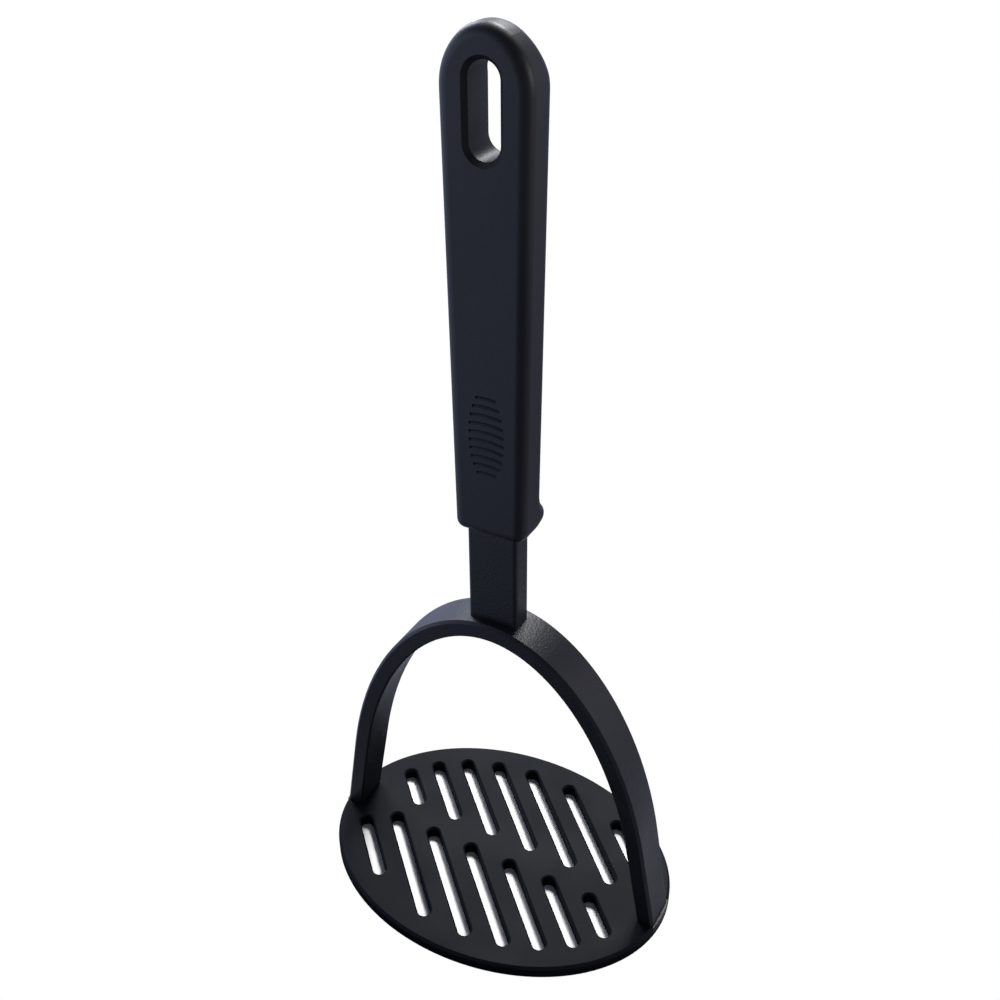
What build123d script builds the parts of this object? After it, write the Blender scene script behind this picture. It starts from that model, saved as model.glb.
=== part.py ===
from build123d import *
from math import asin, cos, degrees, radians, sin, sqrt
import os

# A one-handed potato masher, moulded in nylon. Millimetres, +Z up. The origin is the
# centre of the plate's underside, X runs along the plate and the arch, and -Y is the
# front, where the thumb lies on the grooves.

# How far cuts run past what they cut
cut_overrun = 1.0

# Mashing plate: an oval with two rows of slanted slots
plate_length = 115.6
plate_width = 87.0
plate_thickness = 4.2
plate_rim_bevel = 0.8
plate_base_bevel = 0.4

slot_width = 4.2
slot_mouth_bevel = 0.5
slot_slant = 45.0
slot_pitch = 14.5
slot_row_inset = 22.7
slot_rim_margin = 9.2
bridge_half_width = 5.3

# Notch at each end of the rim, where a foot of the arch is set in
notch_floor = 1.8
foot_clearance = 0.05

# Arch: a flat strap, straight legs that run tangent into a half ellipse
arch_foot_inset = 0.7
arch_crown_rise = 97.3
arch_leg_rise = 29.6
strap_thickness = 5.4
strap_crown_width = 13.9
strap_foot_width = 11.9
strap_outer_bevel = 0.8
strap_inner_bevel = 0.5

# Shank on the crown, and its tang inside the handle, with a snap barb on each side
shank_length = 29.9
shank_width = 15.5
shank_thickness = 7.5
shank_edge_round = 1.2
tang_below_hole = 35.0
tang_tip_taper = 1.0
barb_reach = 1.1
barb_length = 5.0
barb_thickness = 4.0
barb_below_tip = 12.0

# Handle: the walls round the tang give its thickness and its width at the bottom. Its
# head is a crown arc between two shoulder arcs, and the nape behind it leans forward.
handle_length = 133.2
handle_head_reach = 12.25
head_crown_radius = 10.2
head_shoulder_turn = 50.0
handle_taper = 0.7
nape_rise = 1.5
nape_lean = 16.0
nape_bend_radius = 8.0
handle_front_wall = 2.0
handle_side_wall = 2.85
handle_edge_round = 3.0
socket_clearance = 0.15
socket_tip_gap = 1.0

# Hanging hole through the handle
hole_width = 8.4
hole_length = 22.6
hole_wall_above = 7.8
hole_mouth_bevel = 1.2

# Finger stop: a lip across the back of the handle's lower end
stop_reach = 3.1
stop_lip_fullness = 0.4
stop_lip_lift = 0.8
stop_blend_radius = 7.0
stop_underside_radius = 10.0

# Thumb grooves on the front: short arcs inside an oval field
groove_count = 10
groove_pitch = 2.47
groove_field_rise = 31.5
groove_field_half_width = 5.2
groove_width = 1.0
groove_depth = 0.4
groove_arc_radius = 22.0

# Places and sizes worked out from those above
plate_half_length = plate_length / 2
plate_half_width = plate_width / 2
foot_depth = plate_thickness - notch_floor
crown_height = plate_thickness + arch_crown_rise
handle_bottom_height = crown_height + shank_length
handle_top_height = handle_bottom_height + handle_length
handle_back = shank_thickness / 2 + socket_clearance + handle_front_wall
handle_bottom_reach = shank_width / 2 + socket_clearance + handle_side_wall
hole_height = handle_top_height - hole_wall_above - hole_length / 2
tang_tip_height = hole_height - hole_length / 2 - tang_below_hole
barb_height = tang_tip_height - barb_below_tip
stop_lip_radius = handle_edge_round + stop_lip_fullness


def slot_reach(start_x):
    """How far along a slot's centre line, from the bridge, its two end centres lie.

    Both stay inside an oval drawn in from the rim by the slot margin.
    """
    oval_a = plate_half_length - slot_rim_margin
    oval_b = plate_half_width - slot_rim_margin
    step_x = -sin(radians(slot_slant))
    step_y = cos(radians(slot_slant))
    square = (step_x / oval_a) ** 2 + (step_y / oval_b) ** 2
    linear = start_x * step_x / oval_a**2 + bridge_half_width * step_y / oval_b**2
    constant = (start_x / oval_a) ** 2 + (bridge_half_width / oval_b) ** 2 - 1
    root = sqrt(max(0, linear**2 - square * constant))
    near = max(0, (-linear - root) / square)
    far = max(near, (-linear + root) / square)
    return near, far


# The arch's outer face: the half ellipse is worked out so that each straight leg
# runs tangent into it at the knee and meets the plate's top near the rim
foot_reach = plate_half_length - arch_foot_inset
knee_share = arch_leg_rise / arch_crown_rise
arch_half_span = foot_reach * sqrt(1 - knee_share**2)
leg_lean = (foot_reach - arch_half_span**2 / foot_reach) / arch_leg_rise
toe_reach = foot_reach + leg_lean * strap_thickness
toe_height = plate_thickness - strap_thickness
leg_run = strap_thickness * sqrt(1 + leg_lean**2)


def feet_profile(gap):
    """Both feet of the arch, as they are let into the plate, seen from the front."""
    inner_reach = foot_reach - leg_run - gap
    rim_reach = plate_half_length + cut_overrun
    with BuildSketch(Plane.XZ) as profile:
        for side in (1, -1):
            with BuildLine():
                Polyline(
                    (side * inner_reach, plate_thickness),
                    (side * (inner_reach + leg_lean * foot_depth), notch_floor),
                    (side * rim_reach, notch_floor),
                    (side * rim_reach, plate_thickness),
                    close=True,
                )
            make_face()
    return profile.sketch


# Mashing plate
with BuildPart() as mashing_plate:
    with BuildSketch():
        Ellipse(plate_half_length, plate_half_width)
    extrude(amount=plate_thickness)
    with BuildSketch():
        for row_turn in (0, 180):
            for number in range(int(plate_length / slot_pitch)):
                start_x = slot_row_inset - plate_half_length + number * slot_pitch
                near, far = slot_reach(start_x)
                if far - near < slot_width / 2:
                    continue
                middle = (near + far) / 2
                middle_x = start_x - middle * sin(radians(slot_slant))
                middle_y = bridge_half_width + middle * cos(radians(slot_slant))
                with Locations(Vector(middle_x, middle_y).rotate(Axis.Z, row_turn)):
                    SlotCenterToCenter(far - near, slot_width, rotation=90 + slot_slant)
    extrude(amount=plate_thickness, mode=Mode.SUBTRACT)
    top_face = mashing_plate.faces().sort_by(Axis.Z)[-1]
    slot_mouths = [edge for wire in top_face.inner_wires() for edge in wire.edges()]
    chamfer(slot_mouths, slot_mouth_bevel)
    rim_top = mashing_plate.faces().sort_by(Axis.Z)[-1].outer_wire().edges()
    chamfer(rim_top, plate_rim_bevel)
    rim_base = mashing_plate.faces().sort_by(Axis.Z)[0].outer_wire().edges()
    chamfer(rim_base, plate_base_bevel)
    extrude(
        feet_profile(foot_clearance),
        amount=strap_foot_width / 2 + foot_clearance,
        both=True,
        mode=Mode.SUBTRACT,
    )
mashing_plate.part.label = "mashing_plate"


# Arch frame: strap, feet, shank and tang in one moulding
with BuildPart() as arch_frame:
    with BuildLine(Plane.XZ) as arch_line:
        crown = EllipticalCenterArc(
            (0, plate_thickness),
            arch_half_span,
            arch_crown_rise,
            start_angle=degrees(asin(knee_share)),
            arc_size=180 - 2 * degrees(asin(knee_share)),
        )
        Line((toe_reach, toe_height), crown @ 0)
        Line(crown @ 1, (-toe_reach, toe_height))
    outer_path = arch_line.wires()[0]
    strap_stations = (
        (0, strap_foot_width),
        (1 / 2, strap_crown_width),
        (1, strap_foot_width),
    )
    for station_share, width in strap_stations:
        section_plane = Plane(
            origin=outer_path @ station_share,
            x_dir=(0, 1, 0),
            z_dir=outer_path % station_share,
        )
        with BuildSketch(section_plane) as strap_section:
            with Locations((0, strap_thickness / 2)):
                section = Rectangle(width, strap_thickness)
            chamfer(section.vertices().sort_by(Axis.Y)[:2], strap_outer_bevel)
            chamfer(strap_section.vertices().sort_by(Axis.Y)[-2:], strap_inner_bevel)
    sweep(path=outer_path, multisection=True)
    split(bisect_by=Plane.XY.offset(plate_thickness), keep=Keep.TOP)
    extrude(feet_profile(0), amount=strap_foot_width / 2, both=True)
    with BuildSketch(Plane.XY.offset(notch_floor)):
        Ellipse(plate_half_length, plate_half_width)
    extrude(amount=crown_height, mode=Mode.INTERSECT)
    with BuildSketch(Plane.XY.offset(crown_height - strap_thickness / 2)):
        RectangleRounded(shank_width, shank_thickness, shank_edge_round)
    extrude(amount=tang_tip_height - crown_height + strap_thickness / 2)
    tang_tip = arch_frame.faces().sort_by(Axis.Z)[-1]
    chamfer(tang_tip.edges(), tang_tip_taper)
    with BuildSketch(Plane.XZ):
        for side in (1, -1):
            with BuildLine():
                Polyline(
                    (side * shank_width / 2, barb_height),
                    (side * (shank_width / 2 + barb_reach), barb_height),
                    (side * shank_width / 2, barb_height + barb_length),
                    close=True,
                )
            make_face()
    extrude(amount=barb_thickness / 2, both=True)
arch_frame.part.label = "arch_frame"


# Handle outline: the shoulder arcs are tangent to the crown arc and reach out to the
# head's full width, then turn in by the taper. The nape's bend starts a little above
# their centres.
head_turn_share = cos(radians(head_shoulder_turn))
head_shoulder_radius = (handle_head_reach - head_crown_radius * head_turn_share) / (
    1 - head_turn_share
)
head_crown_height = handle_top_height - head_crown_radius
head_shoulder_drop = (head_shoulder_radius - head_crown_radius) * sin(
    radians(head_shoulder_turn)
)
head_shoulder_height = head_crown_height - head_shoulder_drop
nape_height = head_shoulder_height + nape_rise

# Finger stop: the centres of its three arcs, each tangent to the next
lip_centre = Vector(
    handle_back + stop_reach - stop_lip_radius,
    handle_bottom_height + stop_lip_radius + stop_lip_lift,
)
blend_side = stop_blend_radius - stop_reach + stop_lip_radius
blend_centre = Vector(
    handle_back + stop_blend_radius,
    lip_centre.Y + sqrt((stop_blend_radius + stop_lip_radius) ** 2 - blend_side**2),
)
lip_inset = stop_underside_radius - stop_lip_radius
underside_centre = Vector(
    lip_centre.X - sqrt(lip_inset**2 - (lip_inset - stop_lip_lift) ** 2),
    handle_bottom_height + stop_underside_radius,
)
blend_end = lip_centre + (blend_centre - lip_centre).normalized() * stop_lip_radius
lip_end = lip_centre + (lip_centre - underside_centre).normalized() * stop_lip_radius

# Handle
with BuildPart() as handle:
    with BuildSketch(Plane.XZ):
        with BuildLine():
            CenterArc(
                (0, head_crown_height),
                head_crown_radius,
                head_shoulder_turn,
                180 - 2 * head_shoulder_turn,
            )
            for side in (1, -1):
                shoulder = CenterArc(
                    (
                        side * (handle_head_reach - head_shoulder_radius),
                        head_shoulder_height,
                    ),
                    head_shoulder_radius,
                    90 - side * (90 - head_shoulder_turn),
                    -side * (head_shoulder_turn + handle_taper),
                )
                foot = (side * handle_bottom_reach, handle_bottom_height)
                TangentArc(shoulder @ 1, foot, tangent=shoulder % 1)
            Line(
                (-handle_bottom_reach, handle_bottom_height),
                (handle_bottom_reach, handle_bottom_height),
            )
        make_face()
    extrude(amount=2 * handle_back, both=True)
    with BuildSketch(Plane.YZ):
        with BuildLine():
            nape_bend = CenterArc(
                (handle_back - nape_bend_radius, nape_height),
                nape_bend_radius,
                0,
                nape_lean,
            )
            nape_length = handle_top_height - nape_height + cut_overrun
            nape = PolarLine(nape_bend @ 1, nape_length, 90 + nape_lean)
            back = Line(nape_bend @ 0, (handle_back, blend_centre.Y))
            blend = TangentArc(back @ 1, blend_end, tangent=back % 1)
            lip = TangentArc(blend @ 1, lip_end, tangent=blend % 1)
            underside_end = (underside_centre.X, handle_bottom_height)
            TangentArc(lip @ 1, underside_end, tangent=lip % 1)
            Polyline(
                underside_end,
                (-handle_back, handle_bottom_height),
                (-handle_back, (nape @ 1).Y),
                nape @ 1,
            )
        make_face()
    extrude(amount=2 * handle_bottom_reach, both=True, mode=Mode.INTERSECT)
    front_face = handle.faces().sort_by(Axis.Y)[0]
    front_bottom = front_face.edges().filter_by(Axis.X)
    side_edges = handle.edges().filter_by(Axis.X, reverse=True)
    side_edges = side_edges.filter_by(Axis.Y, reverse=True)
    fillet(side_edges + front_bottom, handle_edge_round)

    with BuildSketch(Plane.XZ):
        with Locations((0, hole_height)):
            SlotCenterToCenter(hole_length - hole_width, hole_width, rotation=90)
    extrude(amount=2 * handle_back, both=True, mode=Mode.SUBTRACT)
    hole_mouths = handle.edges(Select.LAST).filter_by(Axis.Y, reverse=True)
    chamfer(hole_mouths, hole_mouth_bevel)

    with BuildSketch(Plane.XY.offset(handle_bottom_height - cut_overrun)):
        RectangleRounded(
            shank_width + 2 * socket_clearance,
            shank_thickness + 2 * socket_clearance,
            shank_edge_round + socket_clearance,
        )
    socket_depth = tang_tip_height + socket_tip_gap - handle_bottom_height
    extrude(amount=socket_depth + cut_overrun, mode=Mode.SUBTRACT)
    with BuildSketch(Plane.XZ):
        with Locations((0, barb_height + barb_length / 2)):
            Rectangle(
                shank_width + 2 * (barb_reach + socket_clearance),
                barb_length + 2 * socket_clearance,
            )
    extrude(
        amount=barb_thickness / 2 + socket_clearance,
        both=True,
        mode=Mode.SUBTRACT,
    )

    groove_field_height = handle_bottom_height + groove_field_rise
    groove_field_half_height = (groove_count + 1) / 2 * groove_pitch
    for number in range(groove_count):
        offset_height = ((groove_count - 1) / 2 - number) * groove_pitch
        oval_share = sqrt(1 - (offset_height / groove_field_half_height) ** 2)
        half_angle = degrees(asin(groove_field_half_width * oval_share / groove_arc_radius))
        groove_centre_height = groove_field_height + offset_height - groove_arc_radius
        groove_axis = Axis((0, -handle_back, groove_centre_height), (0, 1, 0))
        groove_start = Plane(
            origin=groove_axis.position,
            x_dir=Vector(0, 0, 1).rotate(Axis.Y, -half_angle),
            z_dir=Vector(-1, 0, 0).rotate(Axis.Y, -half_angle),
        )
        with BuildSketch(groove_start):
            with BuildLine():
                Polyline(
                    (groove_arc_radius - groove_width / 2, 0),
                    (groove_arc_radius, groove_depth),
                    (groove_arc_radius + groove_width / 2, 0),
                    close=True,
                )
            make_face()
        revolve(
            axis=groove_axis,
            revolution_arc=2 * half_angle,
            mode=Mode.SUBTRACT,
        )
handle.part.label = "handle"


os.makedirs("parts", exist_ok=True)
export_step(mashing_plate.part, "parts/mashing_plate.step")
export_step(arch_frame.part, "parts/arch_frame.step")
export_step(handle.part, "parts/handle.step")
for piece in (mashing_plate.part, arch_frame.part, handle.part):
    size = piece.bounding_box().size
    print(f"{piece.label}: {size.X:.1f} x {size.Y:.1f} x {size.Z:.1f} mm, valid {piece.is_valid}")
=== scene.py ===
# %% [markdown]
# A potato masher in black nylon. The real tool is three mouldings: a slotted oval plate,
# an arched strap with a short shank on its crown, and a flat handle pushed over the
# shank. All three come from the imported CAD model, which holds every real size, so this
# lesson makes no new shapes for them. It gives each moulding the finish of its own face,
# and then sets up the floor, the light and the camera. Loading the model first means
# that everything after it can be placed by the model's own measurements.

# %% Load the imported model
import bpy
from math import radians
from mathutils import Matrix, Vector


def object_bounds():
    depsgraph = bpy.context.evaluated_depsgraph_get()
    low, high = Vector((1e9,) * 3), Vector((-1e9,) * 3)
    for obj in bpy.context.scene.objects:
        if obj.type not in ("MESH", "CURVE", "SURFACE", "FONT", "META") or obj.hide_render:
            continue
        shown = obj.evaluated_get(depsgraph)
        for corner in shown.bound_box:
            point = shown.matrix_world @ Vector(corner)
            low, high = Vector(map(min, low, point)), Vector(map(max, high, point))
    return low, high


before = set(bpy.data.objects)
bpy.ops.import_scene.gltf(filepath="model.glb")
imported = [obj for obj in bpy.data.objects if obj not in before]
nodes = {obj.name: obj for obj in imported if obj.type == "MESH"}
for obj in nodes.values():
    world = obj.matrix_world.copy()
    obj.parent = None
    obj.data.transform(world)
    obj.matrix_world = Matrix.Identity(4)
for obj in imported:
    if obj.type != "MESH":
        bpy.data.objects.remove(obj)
cad_low, cad_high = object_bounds()
masher_height = cad_high.z - cad_low.z

# %% [markdown]
# Every finish below is a network of shader nodes. Placing nodes one by one in the editor
# is fine for one material, but three mouldings share most of theirs. Four short helpers
# keep the rest readable: one adds a node with its settings, one joins sockets, and two
# add the nodes that turn up most, a smooth step and a mix of two colors.

# %% Helpers for node networks
# A Mix node lists the sockets of every kind of value it can mix, so they go by position.
MIX_FACTOR = 0
FLOAT_A, FLOAT_B, FLOAT_RESULT = 2, 3, 0
COLOR_A, COLOR_B, COLOR_RESULT = 6, 7, 2


def add(tree, kind, **settings):
    """Adds one node to a tree and fills in its settings and input values."""
    node = tree.nodes.new(kind)
    for name, value in settings.items():
        if hasattr(node, name):
            setattr(node, name, value)
        else:
            node.inputs[name.replace("_", " ")].default_value = value
    return node


def wire(tree, *pairs):
    """Joins each (output, input) pair of sockets."""
    for source, target in pairs:
        tree.links.new(source, target)


def smooth_step(tree, low, high, start=0.0, end=1.0):
    """Adds a node that goes smoothly from start, at low, to end, at high."""
    return add(
        tree,
        "ShaderNodeMapRange",
        interpolation_type="SMOOTHSTEP",
        From_Min=low,
        From_Max=high,
        To_Min=start,
        To_Max=end,
    )


def color_mix(tree, first=None, second=None):
    """Adds a mix of two colors. One that is left out comes in through a wire."""
    mix = add(tree, "ShaderNodeMix", data_type="RGBA")
    for position, color in ((COLOR_A, first), (COLOR_B, second)):
        if color:
            mix.inputs[position].default_value = (*color, 1)
    return mix


print("Helpers ready: add, wire, smooth_step, color_mix")

# %% [markdown]
# Moulded nylon copies the fine spark texture of its steel mould: shallow pits and bumps a
# third of a millimetre across. It could be modelled, but it is far too fine for a mesh,
# so it is a height that a Bump node reads. All three mouldings have it at different
# strengths, which makes it a node group with named sockets rather than copied nodes.

# %% Group: spark texture of the mould
spark = bpy.data.node_groups.new("mould_spark_texture", "ShaderNodeTree")
for socket_name, direction in (
    ("Grain Size", "INPUT"),
    ("Pit Share", "INPUT"),
    ("Height", "OUTPUT"),
):
    spark.interface.new_socket(socket_name, in_out=direction, socket_type="NodeSocketFloat")
spark_in = add(spark, "NodeGroupInput")
spark_out = add(spark, "NodeGroupOutput")
spark_place = add(spark, "ShaderNodeTexCoord")
spark_scale = add(spark, "ShaderNodeMath", operation="DIVIDE")
spark_scale.inputs[0].default_value = 1.0
spark_grain = add(spark, "ShaderNodeTexNoise", Detail=3.0, Roughness=0.6)
spark_pits = add(spark, "ShaderNodeTexVoronoi", feature="SMOOTH_F1", Smoothness=0.6)
spark_mix = add(spark, "ShaderNodeMix", data_type="FLOAT")
wire(
    spark,
    (spark_in.outputs["Grain Size"], spark_scale.inputs[1]),
    (spark_place.outputs["Object"], spark_grain.inputs["Vector"]),
    (spark_place.outputs["Object"], spark_pits.inputs["Vector"]),
    (spark_scale.outputs[0], spark_grain.inputs["Scale"]),
    (spark_scale.outputs[0], spark_pits.inputs["Scale"]),
    (spark_in.outputs["Pit Share"], spark_mix.inputs[MIX_FACTOR]),
    (spark_grain.outputs[0], spark_mix.inputs[FLOAT_A]),
    (spark_pits.outputs["Distance"], spark_mix.inputs[FLOAT_B]),
    (spark_mix.outputs[FLOAT_RESULT], spark_out.inputs["Height"]),
)
print(f"{spark.name}: {len(spark.nodes)} nodes")

# %% [markdown]
# Nylon filled with black pigment is never one flat colour. Where the melt flowed and
# cooled at different speeds, it is a little bluer or greyer, in soft clouds some
# centimetres across, and its gloss drifts with them. A slow noise gives both, so the
# colour and the gloss change at the same places, as they do on the real moulding. A
# much finer noise adds a little to the gloss alone.

# %% Group: pigment clouds
clouds = bpy.data.node_groups.new("pigment_clouds", "ShaderNodeTree")
for socket_name, direction, kind in (
    ("Cool Tone", "INPUT", "NodeSocketColor"),
    ("Warm Tone", "INPUT", "NodeSocketColor"),
    ("Smooth Gloss", "INPUT", "NodeSocketFloat"),
    ("Dull Gloss", "INPUT", "NodeSocketFloat"),
    ("Color", "OUTPUT", "NodeSocketColor"),
    ("Roughness", "OUTPUT", "NodeSocketFloat"),
):
    clouds.interface.new_socket(socket_name, in_out=direction, socket_type=kind)
clouds_in = add(clouds, "NodeGroupInput")
clouds_out = add(clouds, "NodeGroupOutput")
clouds_place = add(clouds, "ShaderNodeTexCoord")
clouds_slow = add(clouds, "ShaderNodeTexNoise", Scale=38.0, Detail=2.0, Roughness=0.5)
clouds_fine = add(clouds, "ShaderNodeTexNoise", Scale=900.0, Detail=2.0, Roughness=0.6)
clouds_range = smooth_step(clouds, 0.35, 0.65)
clouds_color = color_mix(clouds)
fine_share = 0.35
clouds_blend = add(clouds, "ShaderNodeMix", data_type="FLOAT")
clouds_blend.inputs[MIX_FACTOR].default_value = fine_share
clouds_gloss = add(clouds, "ShaderNodeMix", data_type="FLOAT")
wire(
    clouds,
    (clouds_place.outputs["Object"], clouds_slow.inputs["Vector"]),
    (clouds_place.outputs["Object"], clouds_fine.inputs["Vector"]),
    (clouds_slow.outputs[0], clouds_range.inputs["Value"]),
    (clouds_range.outputs[0], clouds_color.inputs[MIX_FACTOR]),
    (clouds_in.outputs["Cool Tone"], clouds_color.inputs[COLOR_A]),
    (clouds_in.outputs["Warm Tone"], clouds_color.inputs[COLOR_B]),
    (clouds_range.outputs[0], clouds_blend.inputs[FLOAT_A]),
    (clouds_fine.outputs[0], clouds_blend.inputs[FLOAT_B]),
    (clouds_blend.outputs[FLOAT_RESULT], clouds_gloss.inputs[MIX_FACTOR]),
    (clouds_in.outputs["Smooth Gloss"], clouds_gloss.inputs[FLOAT_A]),
    (clouds_in.outputs["Dull Gloss"], clouds_gloss.inputs[FLOAT_B]),
    (clouds_color.outputs[COLOR_RESULT], clouds_out.inputs["Color"]),
    (clouds_gloss.outputs[FLOAT_RESULT], clouds_out.inputs["Roughness"]),
)
print(f"{clouds.name}: {len(clouds.nodes)} nodes")

# %% [markdown]
# The three finishes are one nylon with different faces. The handle is polished to a
# satin, because a hand slides on it. The strap has the coarsest spark texture, and the
# plate is the dullest, because it is scraped and washed. Black nylon sends back almost
# nothing of its own colour, so what the eye sees on it is mostly the room in its gloss:
# the pigment is written nearly black, and the shine does the rest. One function builds
# the material from the two groups, and takes only what differs between the mouldings.

# %% Nylon finishes
nylon_ior = 1.53


def nylon(name, cool, warm, smooth, dull, grain, pits, bump_height, strength, shine):
    """A moulded nylon finish: pigment clouds for colour and gloss, spark texture for bump."""
    material = bpy.data.materials.new(name)
    material.use_nodes = True
    tree = material.node_tree
    shader = tree.nodes["Principled BSDF"]
    shader.inputs["IOR"].default_value = nylon_ior
    shader.inputs["Specular IOR Level"].default_value = shine
    pigment = add(tree, "ShaderNodeGroup", node_tree=clouds)
    pigment.inputs["Cool Tone"].default_value = (*cool, 1)
    pigment.inputs["Warm Tone"].default_value = (*warm, 1)
    pigment.inputs["Smooth Gloss"].default_value = smooth
    pigment.inputs["Dull Gloss"].default_value = dull
    texture = add(tree, "ShaderNodeGroup", node_tree=spark)
    texture.inputs["Grain Size"].default_value = grain
    texture.inputs["Pit Share"].default_value = pits
    bump = add(tree, "ShaderNodeBump", Distance=bump_height, Strength=strength)
    wire(
        tree,
        (pigment.outputs["Color"], shader.inputs["Base Color"]),
        (pigment.outputs["Roughness"], shader.inputs["Roughness"]),
        (texture.outputs["Height"], bump.inputs["Height"]),
        (bump.outputs[0], shader.inputs["Normal"]),
    )
    return material


blue_black = {"cool": (0.0026, 0.0032, 0.0068), "warm": (0.0046, 0.005, 0.0082)}
handle_finish = nylon(
    "handle_nylon_satin",
    **blue_black,
    smooth=0.4,
    dull=0.52,
    grain=0.0008,
    pits=0.2,
    bump_height=0.00006,
    strength=0.6,
    shine=0.5,
)
arch_finish = nylon(
    "arch_nylon_textured",
    **blue_black,
    smooth=0.4,
    dull=0.54,
    grain=0.0007,
    pits=0.5,
    bump_height=0.00011,
    strength=0.9,
    shine=0.5,
)
plate_finish = nylon(
    "plate_nylon_dull",
    cool=(0.0032, 0.0038, 0.0066),
    warm=(0.005, 0.0055, 0.0078),
    smooth=0.54,
    dull=0.66,
    grain=0.0008,
    pits=0.3,
    bump_height=0.00006,
    strength=0.6,
    shine=0.12,
)

# %% [markdown]
# Each moulding came in with one plain slot from the CAD model. The finish goes into that
# slot, so the mesh itself isn't touched, and the record's material names still lead to
# the same faces.

# %% Give each moulding its finish
for node_name, finish in (
    ("handle", handle_finish),
    ("arch_frame", arch_finish),
    ("mashing_plate", plate_finish),
):
    nodes[node_name].material_slots[0].material = finish
    print(f"{node_name}: {finish.name}")

# %% [markdown]
# The masher stands on white paper. The sheet lies a hair under the plate, because two
# faces at the same height would flicker, and it is wide enough that its edge is never in
# the picture.

# %% Floor
floor_half_width = 3.0
floor_gap = 0.00005
floor_mesh = bpy.data.meshes.new("table_top")
floor_mesh.from_pydata(
    [
        (x * floor_half_width, y * floor_half_width, cad_low.z - floor_gap)
        for x, y in ((-1, -1), (1, -1), (1, 1), (-1, 1))
    ],
    [],
    [(0, 1, 2, 3)],
)
floor = bpy.data.objects.new("table_top", floor_mesh)
bpy.context.scene.collection.objects.link(floor)

# %% [markdown]
# The camera has to see the paper as pure white, but a floor that only glows would lose
# the shadows in the slots. So the camera gets a bright paper under the plate that keeps
# them, and it turns into a plain white glow at the plate's oval rim. This paper is
# shaded as if it leaned to the right and back, away from the daylight on the left, so
# the daylight doesn't fill the shade in the slots.

# %% Paper for the camera
paper_white = (2.3, 2.26, 2.2, 1)
rim_fade_start, rim_fade_end = 0.96, 1.0
floor_finish = bpy.data.materials.new("white_table")
floor_finish.use_nodes = True
floor_tree = floor_finish.node_tree
floor_tree.nodes.remove(floor_tree.nodes["Principled BSDF"])
floor_place = add(floor_tree, "ShaderNodeTexCoord")
floor_oval = add(floor_tree, "ShaderNodeVectorMath", operation="DIVIDE")
floor_oval.inputs[1].default_value = (cad_high.x, cad_high.y, 1)
floor_rims = add(floor_tree, "ShaderNodeVectorMath", operation="LENGTH")
floor_fade = smooth_step(floor_tree, rim_fade_start, rim_fade_end)
floor_lean = add(floor_tree, "ShaderNodeCombineXYZ", X=0.7, Y=0.5, Z=0.51)
floor_bright = add(floor_tree, "ShaderNodeBsdfDiffuse", Color=paper_white)
floor_glow = add(floor_tree, "ShaderNodeEmission", Strength=1.0)
floor_far = add(floor_tree, "ShaderNodeMixShader")
wire(
    floor_tree,
    (floor_place.outputs["Object"], floor_oval.inputs[0]),
    (floor_oval.outputs[0], floor_rims.inputs[0]),
    (floor_rims.outputs["Value"], floor_fade.inputs["Value"]),
    (floor_fade.outputs[0], floor_far.inputs[0]),
    (floor_lean.outputs[0], floor_bright.inputs["Normal"]),
    (floor_bright.outputs[0], floor_far.inputs[1]),
    (floor_glow.outputs[0], floor_far.inputs[2]),
)
print(f"{floor_finish.name}: shaded under the plate, plain white from the rim on")

# %% [markdown]
# If the nylon saw that paper in its gloss, the paper would light it from below. So the
# Light Path node is asked which kind of ray has arrived, and all rays but the camera's
# meet a small table that is pale behind the masher and painted dark in front of it. The dark
# front is painted shade where the photographer stands, for the gloss to reflect. Past the
# table's edge they go on into the room, and the white background lights nothing.

# %% Table for all other rays
# The dark front colour is painted shade of the photographer's side, blended in towards the
# front.
table_front_painted_shade, table_back = (0.05, 0.05, 0.06), (0.38, 0.4, 0.44)
floor_axes = add(floor_tree, "ShaderNodeSeparateXYZ")
floor_shade_mask = smooth_step(floor_tree, -0.06, 0.02)
floor_color = color_mix(floor_tree, table_front_painted_shade, table_back)
floor_paper = add(floor_tree, "ShaderNodeBsdfDiffuse")
floor_room = add(floor_tree, "ShaderNodeBsdfTransparent")
floor_reach = add(floor_tree, "ShaderNodeVectorMath", operation="LENGTH")
floor_edge = smooth_step(floor_tree, 0.1, 0.19)
floor_small = add(floor_tree, "ShaderNodeMixShader")
floor_rays = add(floor_tree, "ShaderNodeLightPath")
floor_mix = add(floor_tree, "ShaderNodeMixShader")
wire(
    floor_tree,
    (floor_place.outputs["Object"], floor_axes.inputs[0]),
    (floor_axes.outputs["Y"], floor_shade_mask.inputs["Value"]),
    (floor_shade_mask.outputs[0], floor_color.inputs[MIX_FACTOR]),
    (floor_color.outputs[COLOR_RESULT], floor_paper.inputs["Color"]),
    (floor_place.outputs["Object"], floor_reach.inputs[0]),
    (floor_reach.outputs["Value"], floor_edge.inputs["Value"]),
    (floor_edge.outputs[0], floor_small.inputs[0]),
    (floor_paper.outputs[0], floor_small.inputs[1]),
    (floor_room.outputs[0], floor_small.inputs[2]),
    (floor_rays.outputs["Is Camera Ray"], floor_mix.inputs[0]),
    (floor_small.outputs[0], floor_mix.inputs[1]),
    (floor_far.outputs[0], floor_mix.inputs[2]),
    (floor_mix.outputs[0], floor_tree.nodes["Material Output"].inputs["Surface"]),
)
floor_mesh.materials.append(floor_finish)
print(f"{floor_finish.name}: {len(floor_tree.nodes)} nodes, on {floor.name}")

# %% [markdown]
# Black nylon mirrors the room, so the gradients of the room paint the masher. Daylight
# comes in on the left, bluish, and fades towards the right. The side where the
# photographer stands is dark, which is why the rounded edge that faces the camera is
# the darkest line.

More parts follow.
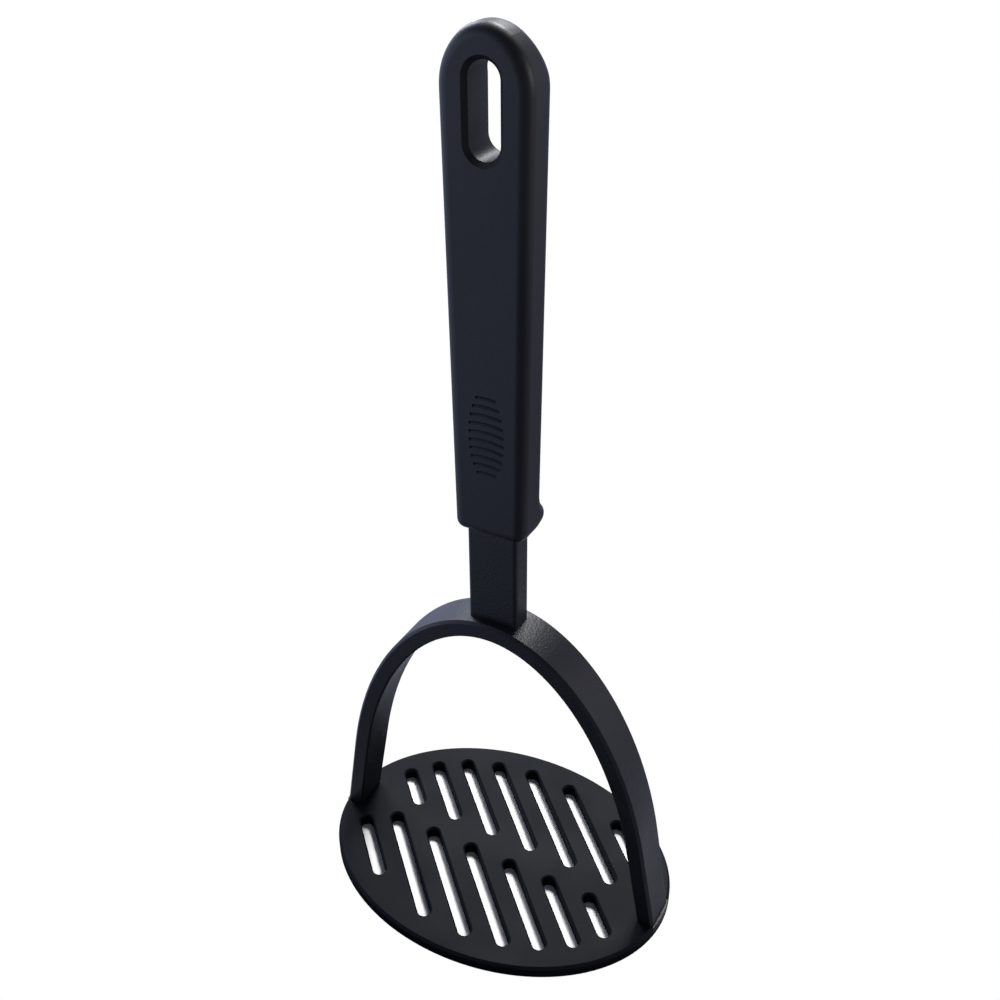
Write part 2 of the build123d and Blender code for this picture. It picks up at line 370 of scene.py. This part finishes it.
# %% Colors of the room
scene = bpy.context.scene
scene.view_settings.view_transform = "Standard"
room = bpy.data.worlds.new("studio_room")
room.use_nodes = True
scene.world = room
room_tree = room.node_tree
room_light = room_tree.nodes["Background"]
daylight, right_wall, dark_side = (0.44, 0.5, 0.7), (0.22, 0.22, 0.29), (0.1, 0.1, 0.13)
towards_photographer = (0.49, -0.87, 0)
room_place = add(room_tree, "ShaderNodeTexCoord")
room_axes = add(room_tree, "ShaderNodeSeparateXYZ")
room_width = smooth_step(room_tree, -0.5, 0.4)
room_sides = color_mix(room_tree, daylight, right_wall)
room_front = add(room_tree, "ShaderNodeVectorMath", operation="DOT_PRODUCT")
room_front.inputs[1].default_value = towards_photographer
room_near = smooth_step(room_tree, 0.4, 0.85)
room_color = color_mix(room_tree, second=dark_side)
wire(
    room_tree,
    (room_place.outputs["Generated"], room_axes.inputs[0]),
    (room_axes.outputs["X"], room_width.inputs["Value"]),
    (room_width.outputs[0], room_sides.inputs[MIX_FACTOR]),
    (room_place.outputs["Generated"], room_front.inputs[0]),
    (room_front.outputs["Value"], room_near.inputs["Value"]),
    (room_near.outputs[0], room_color.inputs[MIX_FACTOR]),
    (room_sides.outputs[COLOR_RESULT], room_color.inputs[COLOR_A]),
    (room_color.outputs[COLOR_RESULT], room_light.inputs["Color"]),
)
print(f"{room.name}: daylight on its left, dark on the photographer's side")

# %% [markdown]
# The walls are brighter at eye height than the ground and the ceiling, so the upright
# faces of the masher look brighter than the flat ones. Two smooth steps over the height
# of each direction give that, multiplied together. The camera itself sees plain white
# instead, by the same Light Path question that the floor asks.

# %% Brightness of the room, and white for the camera
room_height = smooth_step(room_tree, -0.55, -0.05, start=0.75, end=1.8)
room_ceiling = smooth_step(room_tree, 0.1, 0.6, start=1.0, end=0.25)
room_strength = add(room_tree, "ShaderNodeMath", operation="MULTIPLY")
room_white = add(room_tree, "ShaderNodeBackground", Color=(1, 1, 1, 1), Strength=1.0)
room_rays = add(room_tree, "ShaderNodeLightPath")
room_mix = add(room_tree, "ShaderNodeMixShader")
wire(
    room_tree,
    (room_axes.outputs["Z"], room_height.inputs["Value"]),
    (room_axes.outputs["Z"], room_ceiling.inputs["Value"]),
    (room_height.outputs[0], room_strength.inputs[0]),
    (room_ceiling.outputs[0], room_strength.inputs[1]),
    (room_strength.outputs[0], room_light.inputs["Strength"]),
    (room_rays.outputs["Is Camera Ray"], room_mix.inputs[0]),
    (room_light.outputs[0], room_mix.inputs[1]),
    (room_white.outputs[0], room_mix.inputs[2]),
    (room_mix.outputs[0], room_tree.nodes["World Output"].inputs["Surface"]),
)
print(f"{room.name}: {len(room_tree.nodes)} nodes, white to the camera")

# %% [markdown]
# Three softboxes light the studio. The main one hangs high behind the masher, and it is
# small, so that the slots throw crisp shadows towards the viewer. The one at the back on
# the left is bluish daylight, and draws the bright line along the top of the arch. A weak
# one on the right lifts the edge of the shank. Nothing shines from the front, which
# leaves the grooves in the handle dark.

# %% Softboxes
def softbox(name, place, target, size, power, color=(1, 1, 1)):
    """A square area light at a place, turned to face a target."""
    light = bpy.data.lights.new(name, "AREA")
    light.size = size
    light.energy = power
    light.color = color
    box = bpy.data.objects.new(name, light)
    box.location = place
    box.rotation_mode = "QUATERNION"
    box.rotation_quaternion = (Vector(target) - Vector(place)).to_track_quat("-Z", "Y")
    scene.collection.objects.link(box)
    print(f"{name}: {power:g} W, {size:g} m wide")


light_target = (0, 0, masher_height / 3)
bluish = (0.88, 0.93, 1.05)
softbox("overhead_softbox", (-0.115, 0.606, 0.971), light_target, size=0.28, power=10)
softbox("left_softbox", (-0.8, 0.6, 0.8), light_target, size=0.5, power=6, color=bluish)
softbox("right_softbox", (1.0, 0.25, 0.45), light_target, size=0.4, power=2)

# %% [markdown]
# The photograph was taken from above and to the right of the front, close enough for the
# plate to look smaller than its real share. Its place, turn and focal length were worked
# out by fitting the edges of the CAD model to the photograph, so they are set here as
# numbers. A small shift does the photograph's framing.

# %% Camera
fitted_place = (0.13367, -0.24055, 0.31371)
fitted_turn = (58.1741, 0.1328, 28.3626)  # degrees about X, Y and Z
fitted_shift = (-0.00844, -0.00756)
lens = bpy.data.cameras.new("photograph_camera")
lens.lens = 42.936
lens.sensor_width = 36.0
lens.shift_x, lens.shift_y = fitted_shift
lens.clip_start = 0.01
camera = bpy.data.objects.new("photograph_camera", lens)
camera.location = fitted_place
camera.rotation_euler = [radians(angle) for angle in fitted_turn]
scene.collection.objects.link(camera)
scene.camera = camera
